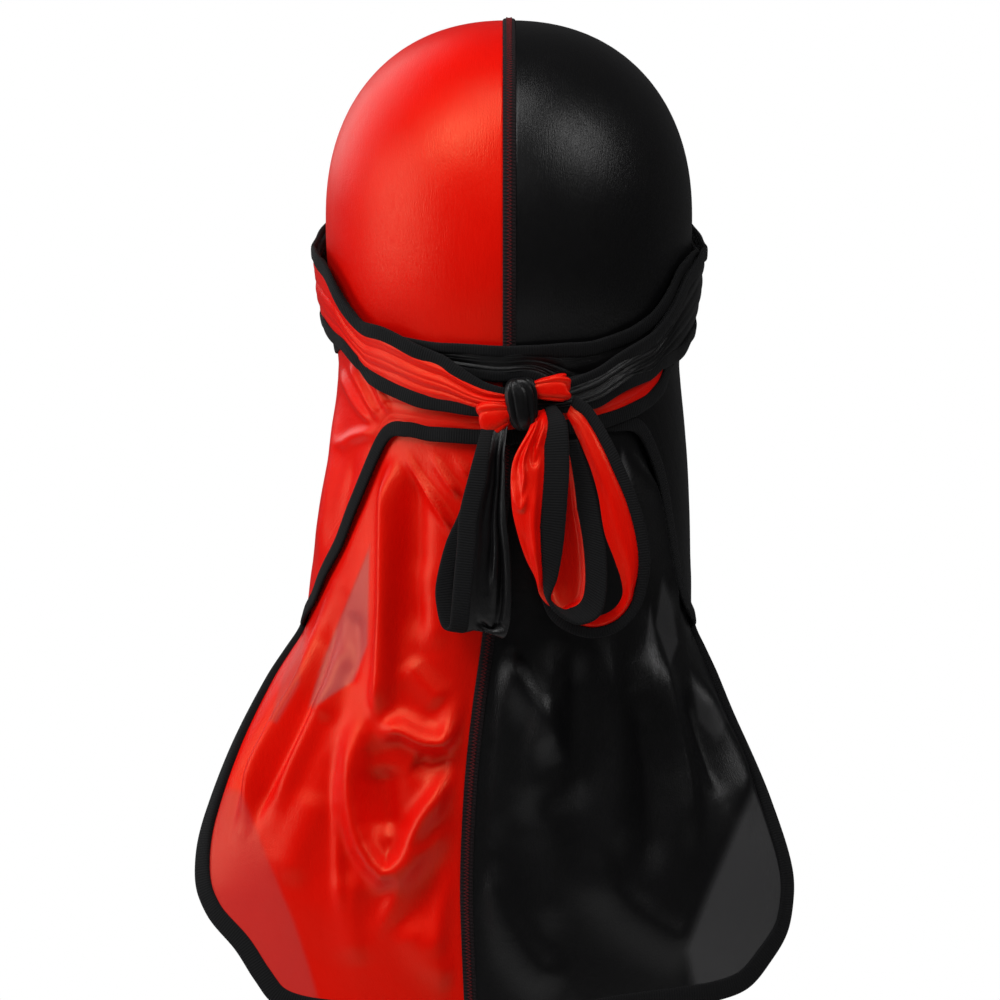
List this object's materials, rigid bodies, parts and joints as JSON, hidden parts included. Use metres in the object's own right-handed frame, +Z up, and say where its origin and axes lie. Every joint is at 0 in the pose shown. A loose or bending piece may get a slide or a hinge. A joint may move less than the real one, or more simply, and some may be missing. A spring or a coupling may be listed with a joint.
{
  "type": "two-colour satin durag, tied",
  "caption": "Two-tone satin durag tied at the nape: close crown with a raised centre seam, wrap straps, bow and a long flared cape.",
  "frame": {"origin": "inside top of the crown, where it rests on the top of the head", "axes": "+Z up, +Y the way the wearer faces, +X the wearer's right"},
  "size_m": [0.2575, 0.2092, 0.4332],
  "materials": {
    "red_satin": "satin",
    "black_satin": "satin",
    "knit_tape": "matte knit",
    "seam_thread": "overlocked"
  },
  "bodies": {
    "root": {"panel_left": "red_satin", "panel_right": "black_satin", "centre_seam": "seam_thread", "front_tape": "knit_tape", "cape_tape_left": "knit_tape", "cape_tape_right": "knit_tape", "strap_left": "red_satin", "strap_left_upper_tape": "knit_tape", "strap_left_lower_tape": "knit_tape", "strap_right": "black_satin", "strap_right_upper_tape": "knit_tape", "strap_right_lower_tape": "knit_tape", "bow_loop_front": "red_satin", "bow_loop_front_tape": "knit_tape", "bow_loop_outer": "red_satin", "bow_loop_outer_tape": "knit_tape", "bow_loop_left": "black_satin", "bow_loop_left_tape": "knit_tape", "knot_wrap": "black_satin", "knot_tuck_left": "red_satin", "knot_tuck_right": "red_satin"}
  },
  "joints": []
}
